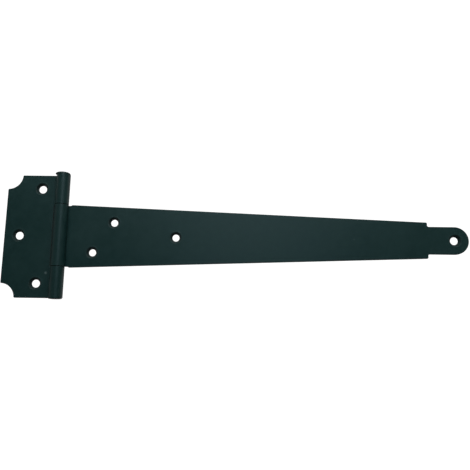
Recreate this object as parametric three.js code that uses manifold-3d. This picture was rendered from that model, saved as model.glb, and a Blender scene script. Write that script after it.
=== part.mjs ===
// T hinge: a scalloped jamb leaf with two rolled knuckles, a long tapered strap with one rolled
// knuckle between them, and a headed pin whose other end is peened over.
// Millimetres. +Z runs up along the pin, +X runs along the strap to its tip, and the barrel stands
// out toward -Y. Both plates lie with their backs on the mounting plane y = 0.

import * as THREE from 'three';
import { mergeVertices } from 'three/addons/utils/BufferGeometryUtils.js';
import Module from 'manifold-3d';

// ---- driving dimensions -------------------------------------------------------------------------

const SHEET = 2.5; // thickness of both plates
const BARREL_R = 5; // outside radius of the rolled knuckles
const BORE_R = BARREL_R - SHEET; // inside radius of the rolled knuckles
const AXIS_Y = -BARREL_R; // the pin axis stands this far off the mounting plane
const SEAM_GAP = 0.35; // slit between the end of a curl and the face of its own plate
const FLAT_BEHIND = 1.1; // the back of a knuckle stays flat this far past the pin axis

const LEAF_HEIGHT = 91.6;
const LEAF_EDGE_X = -42.1; // free edge of the leaf
const SCALLOP_R = 10.5; // hollow cut out of the two free corners
const LEAF_HOLES = [
	{ x: -16.6, z: 35.3 },
	{ x: -31.5, z: 0 },
	{ x: -16.6, z: -35.3 },
];
const LEAF_HOLE_R = 2.9;

const KNUCKLE_HALF = 22.75; // half the length of the strap's knuckle
const KNUCKLE_GAP = 0.35; // end gap between neighbouring knuckles
const CUTOUT_X = -6.7; // edge of the leaf beside the strap's knuckle
const CUTOUT_CORNER_R = 0.5;

const STRAP_LENGTH = 300; // from the pin axis to the tip
const ROOT_HALF = 23.65; // half width of the strap, its taper carried back to the pin axis
const ROOT_X = 7.2; // the plate reaches its full width here
const ROOT_RAMP = 1.2; // and widens from the knuckle's over this length
const SHOULDER_X = 270; // the taper ends here
const SHOULDER_HALF = 13.4; // half width at the end of the taper
const SHOULDER_R = 0.8; // rounding of the shoulder's outer corners
const NECK_R = 1.2; // rounding where a shoulder meets the tongue
const TONGUE_HALF = 10.2; // the tongue ends in a half circle of this radius
const STRAP_HOLES = [
	{ x: 23.6, z: -12.1 },
	{ x: 38.8, z: 10.3 },
	{ x: 84.9, z: -0.3 },
];
const STRAP_HOLE_R = 2.6;
const TIP_HOLE = { x: STRAP_LENGTH - TONGUE_HALF, z: 0 };
const TIP_HOLE_R = 2.85;

const SINK_SPREAD = 1.4; // a countersink is this much wider than its hole at the front face, all round
const SINK_LAND = 0.4; // straight wall left under a countersink

const PIN_R = 2.4; // 0.1 mm of running play all round in the knuckles
const HEAD_GAP = 0.2; // play between a head and the end of the barrel
const UPPER_HEAD = { radius: 4.95, rim: 0.4, rise: 1.4 }; // peened to a full dome above a straight rim
const LOWER_HEAD = { radius: 4.7, rim: 0.2, rise: 0.5 }; // the flatter head that the pin was made with

const ARC_STEP = THREE.MathUtils.degToRad(7.5);
const HOLE_SEGMENTS = 48;

// ---- solids ---------------------------------------------------------------------------------------

const wasm = await Module();
wasm.setup();

function toManifold(geometry) {
	const plain = geometry.clone();
	plain.deleteAttribute('normal');
	plain.deleteAttribute('uv');
	const welded = mergeVertices(plain, 1e-5);
	return new wasm.Manifold(new wasm.Mesh({
		numProp: 3,
		vertProperties: new Float32Array(welded.attributes.position.array),
		triVerts: new Uint32Array(welded.index.array),
	}));
}

function toGeometry(solid) {
	const mesh = solid.getMesh();
	const geometry = new THREE.BufferGeometry();
	geometry.setAttribute('position', new THREE.BufferAttribute(new Float32Array(mesh.vertProperties), 3));
	geometry.setIndex(new THREE.BufferAttribute(new Uint32Array(mesh.triVerts), 1));
	geometry.computeVertexNormals();
	return geometry;
}

function unite(solids) {
	return solids.reduce((sum, solid) => sum.add(solid));
}

// Points of an arc about (cx, cy), both ends included, from angle a0 to a1 in radians.
function arc(cx, cy, radius, a0, a1) {
	const steps = Math.max(2, Math.ceil(Math.abs(a1 - a0) / ARC_STEP));
	const points = [];
	for (let i = 0; i <= steps; i += 1) {
		const a = a0 + ((a1 - a0) * i) / steps;
		points.push(new THREE.Vector2(cx + radius * Math.cos(a), cy + radius * Math.sin(a)));
	}
	return points;
}

// A flat plate: outline given as (x, z), back on y = 0, front on y = -SHEET.
function plate(outline) {
	const shape = new THREE.Shape(outline);
	const geometry = new THREE.ExtrudeGeometry(shape, { depth: SHEET, bevelEnabled: false });
	geometry.rotateX(Math.PI / 2);
	return toManifold(geometry);
}

// A rolled knuckle between z0 and z1. The sheet passes behind the pin, wraps round its far side and
// comes back over the front until it almost touches its own plate again. side is +1 for a plate
// that leaves toward +X and -1 for one that leaves toward -X.
function knuckle(z0, z1, side) {
	const start = -Math.PI / 2 - Math.asin((2 * FLAT_BEHIND) / BARREL_R);
	const end = -Math.PI * 2 - Math.asin((BARREL_R - SHEET - SEAM_GAP) / BARREL_R);
	const profile = [
		new THREE.Vector2(0, 0),
		new THREE.Vector2(-FLAT_BEHIND, 0),
		...arc(0, BARREL_R, BARREL_R, start, end),
		...arc(0, BARREL_R, BORE_R, end, -Math.PI / 2),
	];
	const shape = new THREE.Shape(profile.map((p) => new THREE.Vector2(side * p.x, -p.y)));
	const geometry = new THREE.ExtrudeGeometry(shape, { depth: z1 - z0, bevelEnabled: false });
	geometry.translate(0, 0, z0);
	return toManifold(geometry);
}

// A solid of revolution about its own axis; profile points are (radius, height), bottom to top.
function turned(profile, segments) {
	return new THREE.LatheGeometry(profile.map(([r, h]) => new THREE.Vector2(r, h)), segments);
}

// A countersunk screw hole through a plate, open toward the front.
function screwHole({ x, z }, radius) {
	const geometry = turned([
		[0, -1],
		[radius, -1],
		[radius, SINK_LAND],
		[radius + SINK_SPREAD, SHEET],
		[radius + SINK_SPREAD, SHEET + 1],
		[0, SHEET + 1],
	], HOLE_SEGMENTS);
	geometry.rotateX(Math.PI);
	geometry.translate(x, 0, z);
	return toManifold(geometry);
}

// ---- jamb leaf ------------------------------------------------------------------------------------

function leafOutline() {
	const top = LEAF_HEIGHT / 2;
	const inner = KNUCKLE_HALF + KNUCKLE_GAP;
	const r = CUTOUT_CORNER_R;
	const half = [
		new THREE.Vector2(0, top),
		...arc(LEAF_EDGE_X, top, SCALLOP_R, 0, -Math.PI / 2),
	];
	const notch = [
		...arc(CUTOUT_X + r, inner - r, r, Math.PI, Math.PI / 2),
		new THREE.Vector2(0, inner),
	];
	const mirrored = (points) => points.map((p) => new THREE.Vector2(p.x, -p.y)).reverse();
	return [...half, ...mirrored(half), ...mirrored(notch), ...notch];
}

function jambLeaf() {
	const inner = KNUCKLE_HALF + KNUCKLE_GAP;
	const top = LEAF_HEIGHT / 2;
	const body = unite([plate(leafOutline()), knuckle(inner, top, -1), knuckle(-top, -inner, -1)]);
	const holes = LEAF_HOLES.map((at) => screwHole(at, LEAF_HOLE_R));
	return body.subtract(unite(holes));
}

// ---- strap ----------------------------------------------------------------------------------------

function strapOutline() {
	const slope = (SHOULDER_HALF - ROOT_HALF) / SHOULDER_X;
	const tongueEnd = STRAP_LENGTH - TONGUE_HALF;
	const upper = [
		new THREE.Vector2(0, KNUCKLE_HALF),
		new THREE.Vector2(ROOT_X - ROOT_RAMP, KNUCKLE_HALF),
		new THREE.Vector2(ROOT_X, ROOT_HALF + slope * ROOT_X),
		...arc(SHOULDER_X - SHOULDER_R, SHOULDER_HALF - SHOULDER_R, SHOULDER_R, Math.PI / 2, 0),
		...arc(SHOULDER_X + NECK_R, TONGUE_HALF + NECK_R, NECK_R, Math.PI, Math.PI * 1.5),
	];
	const lower = upper.map((p) => new THREE.Vector2(p.x, -p.y)).reverse();
	return [...upper, ...arc(tongueEnd, 0, TONGUE_HALF, Math.PI / 2, -Math.PI / 2), ...lower];
}

function strap() {
	const body = unite([plate(strapOutline()), knuckle(-KNUCKLE_HALF, KNUCKLE_HALF, 1)]);
	const holes = STRAP_HOLES.map((at) => screwHole(at, STRAP_HOLE_R));
	holes.push(screwHole(TIP_HOLE, TIP_HOLE_R));
	return body.subtract(unite(holes));
}

// ---- pin ------------------------------------------------------------------------------------------

// Profile of one head, from the shank outward to the top of its dome.
function headProfile({ radius, rim, rise }) {
	const seat = LEAF_HEIGHT / 2 + HEAD_GAP;
	const domeSteps = 8;
	const profile = [
		[PIN_R, seat],
		[radius, seat],
	];
	for (let i = 0; i < domeSteps; i += 1) {
		const a = (Math.PI / 2) * (i / domeSteps);
		profile.push([radius * Math.cos(a), seat + rim + rise * Math.sin(a)]);
	}
	profile.push([0, seat + rim + rise]);
	return profile;
}

function hingePin() {
	const lower = headProfile(LOWER_HEAD).map(([r, h]) => [r, -h]).reverse();
	const geometry = turned([...lower, ...headProfile(UPPER_HEAD)], HOLE_SEGMENTS);
	geometry.rotateX(Math.PI / 2);
	geometry.translate(0, AXIS_Y, 0);
	return toManifold(geometry);
}

// ---- assembly -------------------------------------------------------------------------------------

const pieces = [
	{ name: 'jamb_leaf', solid: jambLeaf(), color: 0x1d2f2d, roughness: 0.45 },
	{ name: 'strap', solid: strap(), color: 0x1d2f2d, roughness: 0.45 },
	{ name: 'hinge_pin', solid: hingePin(), color: 0x1b2b29, roughness: 0.4 },
];

const group = new THREE.Group();
group.name = 't_hinge';
for (const { name, solid, color, roughness } of pieces) {
	const material = new THREE.MeshStandardMaterial({ color, roughness, metalness: 0.1 });
	const mesh = new THREE.Mesh(toGeometry(solid), material);
	mesh.name = name;
	group.add(mesh);
}

export default group;
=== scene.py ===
import math

import bmesh
import bpy
from mathutils import Matrix, Vector, geometry, noise


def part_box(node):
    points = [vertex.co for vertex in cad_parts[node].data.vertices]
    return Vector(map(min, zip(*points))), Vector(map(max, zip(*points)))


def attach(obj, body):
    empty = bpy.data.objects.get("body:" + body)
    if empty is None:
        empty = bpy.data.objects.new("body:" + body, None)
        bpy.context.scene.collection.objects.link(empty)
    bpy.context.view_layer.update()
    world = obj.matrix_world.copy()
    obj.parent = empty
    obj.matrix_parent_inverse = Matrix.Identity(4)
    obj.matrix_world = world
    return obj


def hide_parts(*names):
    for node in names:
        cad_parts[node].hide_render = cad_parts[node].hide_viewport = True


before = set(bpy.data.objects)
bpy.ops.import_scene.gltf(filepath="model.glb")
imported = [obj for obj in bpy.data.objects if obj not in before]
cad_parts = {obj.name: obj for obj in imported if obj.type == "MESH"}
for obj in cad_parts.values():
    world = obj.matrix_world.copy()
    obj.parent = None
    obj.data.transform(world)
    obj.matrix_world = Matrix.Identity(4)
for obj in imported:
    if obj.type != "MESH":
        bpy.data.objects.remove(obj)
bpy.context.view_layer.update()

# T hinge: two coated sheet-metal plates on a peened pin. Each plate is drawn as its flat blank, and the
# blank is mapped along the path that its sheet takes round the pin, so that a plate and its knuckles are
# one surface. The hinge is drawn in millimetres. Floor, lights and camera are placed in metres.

scene = bpy.context.scene
QUARTER = math.pi / 2

# ---- dimensions -----------------------------------------------------------------------------------

leaf_low, leaf_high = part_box("jamb_leaf")
_, strap_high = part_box("strap")
pin_low, pin_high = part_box("hinge_pin")
LEAF_TOP = leaf_high.z * 1000
LEAF_EDGE = -leaf_low.x * 1000
STRAP_TIP = strap_high.x * 1000
PIN_TOP = pin_high.z * 1000
PIN_LOW = -pin_low.z * 1000

SHEET = 2.5
BARREL_R = 4.995  # just inside the frame's barrel, which has flats in place of a true curve
SEAM_GAP = 0.35  # slit between the end of a curl and the face of its own plate
MID_R = BARREL_R - SHEET / 2
CURL_ANGLE = 1.5 * math.pi + math.asin((BARREL_R - SHEET - SEAM_GAP) / BARREL_R)
CURL_LENGTH = CURL_ANGLE * MID_R
CURL_STEP = 4.0  # degrees between the points along a curl

SCALLOP_R = 10.5
KNUCKLE_HALF = 22.75
KNUCKLE_INNER = KNUCKLE_HALF + 0.35
CUTOUT = 6.7
CUTOUT_CORNER_R = 0.5
LEAF_CORNER = 0.85  # rounding of the leaf's corners
LEAF_HOLES = ((16.6, 35.3), (31.5, 0.0), (16.6, -35.3))
LEAF_HOLE_R = 2.9

ROOT_HALF = 23.65  # half width of the strap, its taper carried back to the pin axis
ROOT_X = 7.2
ROOT_RAMP = 1.2
SHOULDER = 270.0
SHOULDER_HALF = 13.4
NECK_R = 1.2
TONGUE_HALF = 10.2
TONGUE_CENTRE = STRAP_TIP - TONGUE_HALF
STRAP_CORNER = 0.9  # rounding of the strap's corners
STRAP_HOLES = ((23.6, -12.1), (38.8, 10.3), (84.9, -0.3))
STRAP_HOLE_R = 2.6
TIP_HOLE = (TONGUE_CENTRE, 0.0)
TIP_HOLE_R = 2.85

SINK_SPREAD = 1.4  # a countersink is this much wider than its hole, all round
SINK_LAND = 0.4  # straight wall left under a countersink
LIP_ROUND = 0.3  # where a countersink meets the front face
NECK_ROUND = 0.15  # where a countersink meets its hole
SWELL_WIDTH = 1.1  # low rim that pressing the countersink raised round it
SWELL_HEIGHT = 0.07
FRONT_ROUND = 0.45  # die-rolled edge on the front face
BACK_ROUND = 0.14  # sharper edge on the back face
SHELTERED = 7.0  # cut edges closer to the pin than this are not rubbed, and get painted shade

PIN_R = 2.4
HEAD_GAP = 0.2
HEAD_SEAT = LEAF_TOP + HEAD_GAP
HEAD_EDGE = 0.18  # rounding of a head's rim
UPPER_HEAD_R = 4.95
LOWER_HEAD_R = 4.7
UPPER_FULLNESS = 2.5  # 2 makes the dome an ellipse, and more than 2 fills out its shoulder
LOWER_FULLNESS = 2.2
PEEN_STRETCH = 1.08  # hammering spread the upper head along X, more over the leaf
PEEN_SHIFT = 0.6
DENT_DEPTH = 0.06
DENT_SCALE = 0.55  # how many dents to a millimetre, roughly

# ---- outlines of the flat blanks ------------------------------------------------------------------
# A blank is drawn in (p, z): p is the distance from the pin along the plate, and below zero it is
# the length of sheet that is rolled up, measured along the middle of its thickness.


def arc(cx, cz, r, a0, a1, step=0.35):
    """Points from angle a0 to a1, in degrees: about step apart, and five at the least."""
    n = max(4, int(abs(math.radians(a1 - a0)) * r / step))
    angles = [math.radians(a0 + (a1 - a0) * i / n) for i in range(n + 1)]
    return [Vector((cx + r * math.cos(a), cz + r * math.sin(a))) for a in angles]


def rolled(z):
    """Points along one side of a rolled tab, from the plate to the end of the curl."""
    n = int(math.degrees(CURL_ANGLE) / CURL_STEP)
    return [Vector((-CURL_LENGTH * i / n, z)) for i in range(n + 1)]


def mirrored(points):
    return [Vector((v.x, -v.y)) for v in points][::-1]


def turn_at(points, i):
    """The angle, in degrees, by which a closed outline turns at points[i]."""
    before = points[i] - points[i - 1]
    after = points[(i + 1) % len(points)] - points[i]
    return math.degrees(before.angle(after))


def walk(points, i, step, distance):
    """The point a given distance along the outline from points[i]; step, 1 or -1, is the direction."""
    at, left = points[i], distance
    while True:
        i = (i + step) % len(points)
        length = (points[i] - at).length
        if length >= left:
            return at + (points[i] - at) * (left / length)
        left -= length
        at = points[i]


def soften(points, radius, sharp=25.0):
    """Rounds each corner that turns by sharp degrees or more, over about radius on either side."""
    corners = [i for i in range(len(points)) if turn_at(points, i) >= sharp]
    out = []
    steps = [k / 5 for k in range(6)]
    for i, point in enumerate(points):
        if i in corners:
            before, after = walk(points, i, -1, radius), walk(points, i, 1, radius)
            out += [before * (1 - t) ** 2 + point * 2 * t * (1 - t) + after * t * t for t in steps]
        elif all((point - points[c]).length >= radius * 0.999 for c in corners):
            out.append(point)
    return [p for i, p in enumerate(out) if i == 0 or (p - out[i - 1]).length >= 1e-4]


def leaf_outline():
    side = [*rolled(LEAF_TOP)[::-1], *arc(LEAF_EDGE, LEAF_TOP, SCALLOP_R, 180, 270)]
    r = CUTOUT_CORNER_R
    inner = [*arc(CUTOUT - r, KNUCKLE_INNER - r, r, 0, 90, 0.2), *rolled(KNUCKLE_INNER)]
    middle = Vector((CUTOUT, 0.0))
    return soften([*side, *mirrored(side), *mirrored(inner), middle, *inner], LEAF_CORNER)


def strap_outline():
    slope = (SHOULDER_HALF - ROOT_HALF) / SHOULDER
    upper = [
        *rolled(KNUCKLE_HALF)[::-1],
        Vector((ROOT_X - ROOT_RAMP, KNUCKLE_HALF)),
        Vector((ROOT_X, ROOT_HALF + slope * ROOT_X)),
        Vector((SHOULDER, SHOULDER_HALF)),
        *arc(SHOULDER + NECK_R, TONGUE_HALF + NECK_R, NECK_R, 180, 270, 0.2),
    ]
    tip = arc(TONGUE_CENTRE, 0, TONGUE_HALF, 90, -90, 0.5)
    return soften([*upper, *tip, *mirrored(upper)], STRAP_CORNER, sharp=30.0)


# ---- profiles of cut edges and holes --------------------------------------------------------------
# Tilt is the angle between the surface's normal and the front's, and depth is measured from the back.
# Wear and painted shade, from 0 to 1, say how rubbed the coat is and how much shade is painted on it.


def edge_profile():
    """(inset, depth, tilt, wear) of each ring round a cut edge, from the front face to the back."""
    front_steps, back_steps, back_wear = 4, 3, 0.6
    rings = []
    for i in range(front_steps + 1):
        a = QUARTER * i / front_steps
        rings.append((
            FRONT_ROUND * (1 - math.sin(a)),
            SHEET - FRONT_ROUND * (1 - math.cos(a)),
            a,
            math.sin(math.pi * i / front_steps),
        ))
    for i in range(back_steps + 1):
        a = QUARTER * i / back_steps
        rings.append((
            BACK_ROUND * (1 - math.cos(a)),
            BACK_ROUND * (1 - math.sin(a)),
            QUARTER + a,
            back_wear * math.sin(math.pi * i / back_steps),
        ))
    return rings


def hole_profile(hole_r):
    """(radius, depth, tilt, wear) of each ring of a countersunk hole, from the front face to the back:
    a low swollen rim, a rounded lip, the cone, and a short wall."""
    swell_steps, lip_steps, neck_steps, back_steps = 8, 4, 3, 3
    swell_wear, lip_wear, back_wear = 0.25, 0.5, 0.5
    cone = math.atan2(SHEET - SINK_LAND, SINK_SPREAD)
    flat_r = hole_r + SINK_SPREAD + LIP_ROUND * math.tan(cone / 2)
    rings = []
    for i in range(swell_steps + 1):
        t = i / swell_steps
        rise = SWELL_HEIGHT * math.sin(math.pi * t) ** 2
        slope = -SWELL_HEIGHT * math.pi / SWELL_WIDTH * math.sin(2 * math.pi * t)
        rings.append((flat_r + SWELL_WIDTH * (1 - t), SHEET + rise, math.atan(slope), swell_wear * t))
    for i in range(1, lip_steps + 1):
        a = cone * i / lip_steps
        rings.append((
            flat_r - LIP_ROUND * math.sin(a),
            SHEET - LIP_ROUND * (1 - math.cos(a)),
            a,
            lip_wear * math.sin(math.pi * i / lip_steps),
        ))
    neck_floor = SINK_LAND - NECK_ROUND * math.tan((QUARTER - cone) / 2)
    for i in range(neck_steps + 1):
        a = cone + (QUARTER - cone) * i / neck_steps
        rings.append((
            hole_r + NECK_ROUND * (1 - math.sin(a)),
            neck_floor + NECK_ROUND * math.cos(a),
            a,
            0.0,
        ))
    for i in range(back_steps + 1):
        a = QUARTER * i / back_steps
        rings.append((
            hole_r + BACK_ROUND * (1 - math.cos(a)),
            BACK_ROUND * (1 - math.sin(a)),
            QUARTER + a,
            back_wear * math.sin(math.pi * i / back_steps),
        ))
    return rings


# ---- blanks to meshes -----------------------------------------------------------------------------


def object_from(bm, name):
    """A smooth-shaded object of the scene, made from a finished bmesh."""
    mesh = bpy.data.meshes.new(name)
    bm.to_mesh(mesh)
    bm.free()
    for face in mesh.polygons:
        face.use_smooth = True
    obj = bpy.data.objects.new(name, mesh)
    scene.collection.objects.link(obj)
    return obj


def bend(p, z, depth, side):
    """Place of a point of the blank, depth in front of its back, with the directions there along the
    sheet and out of its front. side is 1 for a plate toward +X and -1 for one toward -X."""
    if p >= 0:
        return Vector((side * p, -depth, z)), Vector((side, 0, 0)), Vector((0, -1, 0))
    a = -p / MID_R
    r = BARREL_R - depth
    at = Vector((-side * r * math.sin(a), -(BARREL_R - r * math.cos(a)), z))
    along = Vector((side * math.cos(a), math.sin(a), 0))
    front = Vector((side * math.sin(a), -math.cos(a), 0))
    return at, along, front


def outward_normals(loop):
    """The direction out of a clockwise outline at each of its points."""
    normals = []
    for i, point in enumerate(loop):
        before = (point - loop[i - 1]).normalized()
        after = (loop[(i + 1) % len(loop)] - point).normalized()
        tangent = (before + after).normalized()
        normals.append(Vector((-tangent.y, tangent.x)))
    return normals


def inside(p, ring):
    """True if a point of the blank lies within a closed ring of points."""
    hit = False
    for i, b in enumerate(ring):
        a = ring[i - 1]
        if (a.y > p.y) != (b.y > p.y):
            if p.x < (b.x - a.x) * (p.y - a.y) / (b.y - a.y) + a.x:
                hit = not hit
    return hit


def across_tabs(ring, tabs, flat):
    """Pairs of vertices on opposite sides of a rolled tab. With them joined, the tab's triangles are
    narrow strips along the pin, which follow the curl."""
    cross = []
    for low, high in tabs:
        pairs = {}
        for v in ring:
            at = flat[v]
            if at.x <= 1e-6 and low - 1e-3 < at.y < high + 1e-3:
                pairs.setdefault(round(at.x, 3), []).append(v)
        cross += [tuple(pair) for pair in pairs.values() if len(pair) == 2]
    return cross


def fill(bm, outer, holes, cross, flat, clockwise):
    """Triangles of one face, between its outer ring and the rings of its holes. cross lists pairs of
    vertices to join first. flat gives each vertex's place on the blank, where the triangles that are
    made go round clockwise or not."""
    verts = [v for ring in (outer, *holes) for v in ring]
    number = {v: i for i, v in enumerate(verts)}
    edges = []
    for ring in (outer, *holes):
        edges += [(number[v], number[ring[(i + 1) % len(ring)]]) for i, v in enumerate(ring)]
    edges += [(number[a], number[b]) for a, b in cross]
    made = geometry.delaunay_2d_cdt([flat[v] for v in verts], edges, [], 0, 1e-6)
    places, faces, sources = made[0], made[2], made[3]
    outer_flat = [flat[v] for v in outer]
    holes_flat = [[flat[v] for v in ring] for ring in holes]
    for face in faces:
        middle = sum((places[i] for i in face), Vector((0, 0))) / len(face)
        if not inside(middle, outer_flat) or any(inside(middle, ring) for ring in holes_flat):
            continue
        triangle = [verts[sources[i][0]] for i in face]
        a, b, c = (flat[v] for v in triangle)
        anticlockwise = (b - a).cross(c - a) > 0
        bm.faces.new(triangle[::-1] if anticlockwise == clockwise else triangle)


def sheet_piece(name, outline, holes, side, tabs):
    """One blank with its cut edges rounded and its holes punched, rolled round the pin. holes pairs each
    hole's place with its profile, and tabs gives the lowest and highest z of each rolled tab."""
    bm = bmesh.new()
    wear_and_painted_shade_layer = bm.verts.layers.float_color.new("wear_and_painted_shade_layer")
    hole_sides = 64
    flat, normals = {}, {}

    def point(at, depth, outward, tilt, wear, painted_shade=0.0):
        place, along, front = bend(at.x, at.y, depth, side)
        v = bm.verts.new(place / 1000)
        flat[v] = at.copy()
        across = along * outward.x + Vector((0, 0, 1)) * outward.y
        normals[v] = (front * math.cos(tilt) + across * math.sin(tilt)).normalized()
        # Cut edges this close to the pin are not rubbed, and get painted shade as strong as the sine of
        # their tilt.
        if at.x < SHELTERED:
            wear = 0.0
            painted_shade = math.sin(tilt)
        v[wear_and_painted_shade_layer] = (wear, painted_shade, 0, 1)
        return v

    def skin(rings):
        for ring, below in zip(rings, rings[1:]):
            for i in range(len(ring)):
                j = (i + 1) % len(ring)
                quad = [ring[i], ring[j], below[j], below[i]]
                bm.faces.new(quad[::-1] if side < 0 else quad)

    outward = outward_normals(outline)
    rings = [
        [point(p - n * inset, depth, n, tilt, wear) for p, n in zip(outline, outward)]
        for inset, depth, tilt, wear in edge_profile()
    ]
    skin(rings)

    turns = [2 * math.pi * i / hole_sides for i in range(hole_sides)]
    circle = [Vector((math.cos(a), math.sin(a))) for a in turns]
    fronts, backs = [], []
    for place, profile in holes:
        centre = Vector(place)
        # Each hole's rings get painted shade as strong as the sine of their tilt, which darkens the cone
        # and the wall.
        hole_rings = [
            [point(centre + c * r, depth, -c, tilt, wear, max(0.0, math.sin(tilt))) for c in circle]
            for r, depth, tilt, wear in profile
        ]
        skin(hole_rings)
        fronts.append(hole_rings[0])
        backs.append(hole_rings[-1])

    fill(bm, rings[0], fronts, across_tabs(rings[0], tabs, flat), flat, side < 0)
    fill(bm, rings[-1], backs, across_tabs(rings[-1], tabs, flat), flat, side > 0)

    bm.verts.index_update()
    in_order = [normals[v] for v in bm.verts]
    obj = object_from(bm, name)
    obj.data.normals_split_custom_set_from_vertices(in_order)
    return obj


def leaf_plate():
    sunk = hole_profile(LEAF_HOLE_R)
    tabs = [(KNUCKLE_INNER, LEAF_TOP), (-LEAF_TOP, -KNUCKLE_INNER)]
    return sheet_piece("leaf_plate", leaf_outline(), [(at, sunk) for at in LEAF_HOLES], -1, tabs)


def strap_plate():
    sunk = hole_profile(STRAP_HOLE_R)
    holes = [(at, sunk) for at in STRAP_HOLES]
    holes.append((TIP_HOLE, hole_profile(TIP_HOLE_R)))
    return sheet_piece("strap_plate", strap_outline(), holes, 1, [(-KNUCKLE_HALF, KNUCKLE_HALF)])


# ---- pin ------------------------------------------------------------------------------------------


def head_profile(radius, top, fullness):
    """(radius, height) down one head from the middle of its dome to the shank."""
    dome_steps, rim_steps = 14, 5
    rim_top = HEAD_SEAT + HEAD_EDGE
    dome = [(0.0, top)]
    for i in range(1, dome_steps + 1):
        a = QUARTER * (1 - i / dome_steps)
        dome.append((
            radius * max(0.0, math.cos(a)) ** (2 / fullness),
            rim_top + (top - rim_top) * math.sin(a) ** (2 / fullness),
        ))
    rim = []
    for i in range(1, rim_steps + 1):
        a = QUARTER * i / rim_steps
        rim.append((
            radius - HEAD_EDGE * (1 - math.cos(a)),
            HEAD_SEAT + HEAD_EDGE * (1 - math.sin(a)),
        ))
    return [*dome, *rim, (PIN_R, HEAD_SEAT)]


def dent(x, y, z):
    """How far hammering pressed a point of a head in: zero or less, and zero on its underside."""
    if abs(z) < HEAD_SEAT + 0.05:
        return 0.0
    return DENT_DEPTH * (noise.noise(Vector((x, y, z)) * DENT_SCALE) - 1) / 2


def peened_pin():
    """The pin, with a peened dome above the barrel and a flatter head below it."""
    upper = head_profile(UPPER_HEAD_R, PIN_TOP, UPPER_FULLNESS)
    lower = [(r, -z) for r, z in head_profile(LOWER_HEAD_R, PIN_LOW, LOWER_FULLNESS)]
    sides = 72
    bm = bmesh.new()
    rings = []
    for r, z in [*upper, *lower[::-1]]:
        peened = z > LEAF_TOP and r != PIN_R
        ring = []
        for i in range(1 if r == 0 else sides):
            a = 2 * math.pi * i / sides
            x, y = r * math.cos(a), r * math.sin(a)
            if peened:
                x = x * PEEN_STRETCH - PEEN_SHIFT
            push = dent(x, y, z) * (1 if z > 0 else -1)
            ring.append(bm.verts.new((x / 1000, (y - BARREL_R) / 1000, (z + push) / 1000)))
        rings.append(ring)
    for above, below in zip(rings, rings[1:]):
        for i in range(sides):
            j = (i + 1) % sides
            if len(above) == 1:
                bm.faces.new((above[0], below[i], below[j]))
            elif len(below) == 1:
                bm.faces.new((above[i], below[0], above[j]))
            else:
                bm.faces.new((above[i], below[i], below[j], above[j]))
    bmesh.ops.recalc_face_normals(bm, faces=bm.faces)
    return object_from(bm, "peened_pin")


# ---- materials ------------------------------------------------------------------------------------

COAT_DARK = (0.0040, 0.0225, 0.0212, 1)
COAT_LIGHT = (0.0065, 0.0285, 0.0270, 1)
COAT_RUBBED = (0.055, 0.062, 0.058, 1)
# Painted shade: the dark colour put in the countersinks and on the cut edges by the pin.
COAT_PAINTED_SHADE = (0.0012, 0.0070, 0.0066, 1)
DUST = (0.10, 0.13, 0.125, 1)
PLATE_ROUGHNESS = 0.42
PIN_ROUGHNESS = 0.38
PAINTED_SHADE_ROUGHNESS = 0.4  # added where shade is painted
RUBBED_SHARE = 0.55  # how far the colour goes to COAT_RUBBED on a fully rubbed edge
PAINTED_SHADE_SHARE = 0.8  # and to the painted shade colour where that shade is strongest
GRAIN_SHARE = 0.25  # height of the fine grain beside that of the orange peel
DUST_HEIGHT = 4.0
BUMP_DEPTH = 0.00006
SPECULAR = 0.33
FRONT_Y = -SHEET / 1000

# Where a grain of dust was caught under the coat: its place and radius in metres, and its strength.
LEAF_SPECK = ((-0.0093, FRONT_Y, -0.0275), 0.0013, 0.8)
STRAP_SPECK = ((0.216, FRONT_Y, 0.0), 0.0009, 0.15)


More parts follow.
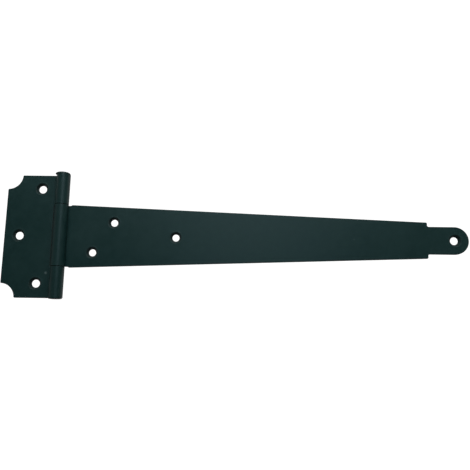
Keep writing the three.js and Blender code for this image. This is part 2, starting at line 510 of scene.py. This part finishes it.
class CoatNodes:
    """Short calls for the shader nodes of one material. seed moves its noise, so no two look alike."""

    def __init__(self, name, seed):
        self.material = bpy.data.materials.new(name)
        self.material.use_nodes = True
        self.nodes = self.material.node_tree.nodes
        self.link = self.material.node_tree.links.new
        self.shader = self.nodes["Principled BSDF"]
        self.object_place = self.nodes.new("ShaderNodeTexCoord").outputs["Object"]
        shift = self.nodes.new("ShaderNodeMapping")
        shift.inputs["Location"].default_value = (seed, seed * 0.7, seed * 0.3)
        self.link(self.object_place, shift.inputs["Vector"])
        self.noise_place = shift.outputs["Vector"]

    def noise(self, scale, detail=2.0, roughness=0.5):
        node = self.nodes.new("ShaderNodeTexNoise")
        node.inputs["Scale"].default_value = scale
        node.inputs["Detail"].default_value = detail
        node.inputs["Roughness"].default_value = roughness
        self.link(self.noise_place, node.inputs["Vector"])
        return node.outputs["Fac"]

    def ranged(self, value, low, high, from_low=0.0, from_high=1.0):
        node = self.nodes.new("ShaderNodeMapRange")
        node.inputs["From Min"].default_value = from_low
        node.inputs["From Max"].default_value = from_high
        node.inputs["To Min"].default_value = low
        node.inputs["To Max"].default_value = high
        self.link(value, node.inputs["Value"])
        return node.outputs["Result"]

    def maths(self, kind, a, b):
        node = self.nodes.new("ShaderNodeMath")
        node.operation = kind
        for socket, value in zip(node.inputs, (a, b)):
            if isinstance(value, (int, float)):
                socket.default_value = value
            else:
                self.link(value, socket)
        return node.outputs["Value"]

    def mixed(self, factor, a, b):
        """A colour between a, which is a fixed colour or a socket, and the fixed colour b."""
        node = self.nodes.new("ShaderNodeMix")
        node.data_type = "RGBA"
        if isinstance(a, tuple):
            node.inputs["A"].default_value = a
        else:
            self.link(a, node.inputs["A"])
        node.inputs["B"].default_value = b
        self.link(factor, node.inputs["Factor"])
        return node.outputs["Result"]

    def spot(self, at, radius, strength):
        """strength at a point of the surface, falling to zero at radius from it."""
        gap = self.nodes.new("ShaderNodeVectorMath")
        gap.operation = "DISTANCE"
        gap.inputs[1].default_value = at
        self.link(self.object_place, gap.inputs[0])
        return self.ranged(gap.outputs["Value"], strength, 0, 0.2 * radius, radius)

    def wear_and_painted_shade(self):
        """The two values that sheet_piece stored at each vertex, wear and painted shade, which are zero
        on the pin.
        """
        layer = self.nodes.new("ShaderNodeAttribute")
        layer.attribute_name = "wear_and_painted_shade_layer"
        channels = self.nodes.new("ShaderNodeSeparateColor")
        self.link(layer.outputs["Color"], channels.inputs["Color"])
        return channels.outputs["Red"], channels.outputs["Green"]


def coat_material(name, seed, roughness, speck=None):
    """Dark green-black baked coat over steel: clouded colour, soft sheen, orange peel, rubbed edges, and
    painted shade, with a duller surface, in the countersinks and on the cut edges by the pin."""
    make = CoatNodes(name, seed)
    cloud = make.noise(scale=28, detail=3)
    mottle = make.noise(scale=240, detail=4, roughness=0.6)
    scuffs = make.noise(scale=420, detail=4, roughness=0.65)
    peel = make.noise(scale=900)
    grain = make.noise(scale=3800)
    wear, painted_shade = make.wear_and_painted_shade()

    clouding = make.ranged(make.maths("ADD", cloud, mottle), 0, 1, from_low=0.7, from_high=1.3)
    patchy = make.ranged(scuffs, 0, 1, from_low=0.45, from_high=0.75)
    rubbed = make.maths("MULTIPLY", wear, patchy)
    colour = make.mixed(clouding, COAT_DARK, COAT_LIGHT)
    colour = make.mixed(make.maths("MULTIPLY", rubbed, RUBBED_SHARE), colour, COAT_RUBBED)
    # Painted shade: darker colour in the countersinks and on the cut edges by the pin.
    colour = make.mixed(make.maths("MULTIPLY", painted_shade, PAINTED_SHADE_SHARE), colour, COAT_PAINTED_SHADE)
    height = make.maths("ADD", peel, make.maths("MULTIPLY", grain, GRAIN_SHARE))
    if speck:
        dust = make.spot(*speck)
        colour = make.mixed(dust, colour, DUST)
        height = make.maths("ADD", height, make.maths("MULTIPLY", dust, DUST_HEIGHT))

    low, high = roughness - 0.05, roughness + 0.05
    rough = make.ranged(cloud, low, high, from_low=0.3, from_high=0.7)
    rough = make.maths("ADD", rough, make.ranged(mottle, -0.04, 0.04, from_low=0.3, from_high=0.7))
    rough = make.maths("ADD", rough, make.maths("MULTIPLY", painted_shade, PAINTED_SHADE_ROUGHNESS))

    bump = make.nodes.new("ShaderNodeBump")
    bump.inputs["Strength"].default_value = 0.35
    bump.inputs["Distance"].default_value = BUMP_DEPTH
    make.link(height, bump.inputs["Height"])

    make.link(colour, make.shader.inputs["Base Color"])
    make.link(rough, make.shader.inputs["Roughness"])
    make.link(bump.outputs["Normal"], make.shader.inputs["Normal"])
    make.shader.inputs["Metallic"].default_value = 0.0
    make.shader.inputs["Specular IOR Level"].default_value = SPECULAR
    return make.material


# ---- the hinge ------------------------------------------------------------------------------------

leaf = leaf_plate()
arm = strap_plate()
pin = peened_pin()
leaf_coat = coat_material("leaf_coat", 0.0, PLATE_ROUGHNESS, LEAF_SPECK)
strap_coat = coat_material("strap_coat", 0.37, PLATE_ROUGHNESS, STRAP_SPECK)
pin_coat = coat_material("pin_coat", 0.81, PIN_ROUGHNESS)

for piece, coat, body, node, slot in (
    (leaf, leaf_coat, "leaf_and_pin", "jamb_leaf", "plate_coat"),
    (arm, strap_coat, "strap_arm", "strap", "plate_coat"),
    (pin, pin_coat, "leaf_and_pin", "hinge_pin", "pin_coat"),
):
    piece.data.materials.append(coat)
    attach(piece, body)
    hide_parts(node)

# ---- floor and surround ---------------------------------------------------------------------------

FLOOR_SIZE = 8.0
FLOOR_AT = (0.13, 0.0, -0.45)
FLOOR_GREY = 0.9
BACKGROUND = 1.1  # strength of the white that the camera sees
FRONT_SURROUND = 0.08  # strength of the white that lights the hinge's front
BACKDROP = 0.6  # and of the white behind it
SURROUND_Y = (-0.1, 0.25)  # a direction's y where the surround ends and where the backdrop is full


def pale_floor():
    """A white floor that the camera sees, and that neither lights the hinge nor shows in its gloss."""
    material = bpy.data.materials.new("pale_floor")
    material.use_nodes = True
    shader = material.node_tree.nodes["Principled BSDF"]
    shader.inputs["Base Color"].default_value = (FLOOR_GREY, FLOOR_GREY, FLOOR_GREY, 1)
    shader.inputs["Roughness"].default_value = 0.9
    shader.inputs["Emission Color"].default_value = (1, 1, 1, 1)
    shader.inputs["Emission Strength"].default_value = 1.0
    bm = bmesh.new()
    bmesh.ops.create_grid(bm, x_segments=1, y_segments=1, size=FLOOR_SIZE / 2)
    floor = object_from(bm, "floor")
    floor.location = FLOOR_AT
    floor.data.materials.append(material)
    floor.visible_diffuse = False
    floor.visible_glossy = False
    return floor


def studio_world():
    """White to the camera. The hinge is lit by a white backdrop and a dim surround in front."""
    world = bpy.data.worlds.new("studio")
    world.use_nodes = True
    nodes, links = world.node_tree.nodes, world.node_tree.links
    nodes.clear()
    coord = nodes.new("ShaderNodeTexCoord")
    direction = nodes.new("ShaderNodeSeparateXYZ")
    links.new(coord.outputs["Generated"], direction.inputs["Vector"])
    strength = nodes.new("ShaderNodeMapRange")
    strength.inputs["From Min"].default_value = SURROUND_Y[0]
    strength.inputs["From Max"].default_value = SURROUND_Y[1]
    strength.inputs["To Min"].default_value = FRONT_SURROUND
    strength.inputs["To Max"].default_value = BACKDROP
    links.new(direction.outputs["Y"], strength.inputs["Value"])
    lighting = nodes.new("ShaderNodeBackground")
    lighting.inputs["Color"].default_value = (1, 1, 1, 1)
    links.new(strength.outputs["Result"], lighting.inputs["Strength"])
    seen = nodes.new("ShaderNodeBackground")
    seen.inputs["Color"].default_value = (1, 1, 1, 1)
    seen.inputs["Strength"].default_value = BACKGROUND
    path = nodes.new("ShaderNodeLightPath")
    mix = nodes.new("ShaderNodeMixShader")
    links.new(path.outputs["Is Camera Ray"], mix.inputs["Fac"])
    links.new(lighting.outputs["Background"], mix.inputs[1])
    links.new(seen.outputs["Background"], mix.inputs[2])
    out = nodes.new("ShaderNodeOutputWorld")
    links.new(mix.outputs["Shader"], out.inputs["Surface"])
    scene.world = world


pale_floor()
studio_world()
scene.view_settings.view_transform = "Standard"

# ---- lights ---------------------------------------------------------------------------------------

SOFT_WHITE = (0.90, 1.0, 1.0)


def area(name, at, target, size, power, colour):
    """A rectangular light, size metres wide and high, that faces the target."""
    data = bpy.data.lights.new(name, "AREA")
    data.shape = "RECTANGLE"
    data.size, data.size_y = size
    data.energy = power
    data.color = colour
    light = bpy.data.objects.new(name, data)
    light.location = at
    light.rotation_mode = "QUATERNION"
    light.rotation_quaternion = (Vector(target) - Vector(at)).to_track_quat("-Z", "Y")
    scene.collection.objects.link(light)


area(
    "key",
    at=(0.12, -0.38, 0.50),
    target=(0.12, 0, 0),
    size=(0.4, 0.4),
    power=3.3,
    colour=SOFT_WHITE,
)
area(
    "left_fill",
    at=(-0.75, -0.35, 0.25),
    target=(0.02, 0, 0),
    size=(0.9, 0.9),
    power=0.4,
    colour=SOFT_WHITE,
)
area(
    "sheen",
    at=(0.165, -0.62, 0.15),
    target=(0.14, 0, 0),
    size=(0.28, 0.26),
    power=0.42,
    colour=(0.55, 0.84, 1.0),
)
area(
    "corner_glow",
    at=(-0.15, -0.30, 0.28),
    target=(-0.02, 0, 0.04),
    size=(0.15, 0.15),
    power=0.07,
    colour=(0.6, 0.95, 1.0),
)
area(
    "tip_glow",
    at=(0.50, -0.29, 0.046),
    target=(0.29, 0, 0),
    size=(0.05, 0.05),
    power=0.034,
    colour=(0.6, 0.95, 0.9),
)

# ---- camera ---------------------------------------------------------------------------------------

LENS = 38.3
SENSOR = 36
DISTANCE = 0.3708
AIM = (0.12857, 0.0, 0.00264)
TILT = math.radians(9.23)  # how far below the aim the camera stands
TURN = math.radians(0.52)
ROLL = math.radians(0.73)


def set_camera():
    """The camera faces the plates' front, from a little below the middle of the strap."""
    data = bpy.data.cameras.new("camera")
    data.lens = LENS
    data.sensor_width = SENSOR
    data.clip_start = 0.01
    camera = bpy.data.objects.new("camera", data)
    level = Matrix.Rotation(QUARTER, 3, "X")
    rolled_by = Matrix.Rotation(ROLL, 3, "Z")
    tilted_by = Matrix.Rotation(TILT, 3, "X")
    turned_by = Matrix.Rotation(TURN, 3, "Y")
    rotation = level @ rolled_by @ tilted_by @ turned_by
    camera.rotation_mode = "QUATERNION"
    camera.rotation_quaternion = rotation.to_quaternion()
    camera.location = Vector(AIM) + rotation @ Vector((0, 0, DISTANCE))
    scene.collection.objects.link(camera)
    scene.camera = camera


set_camera()
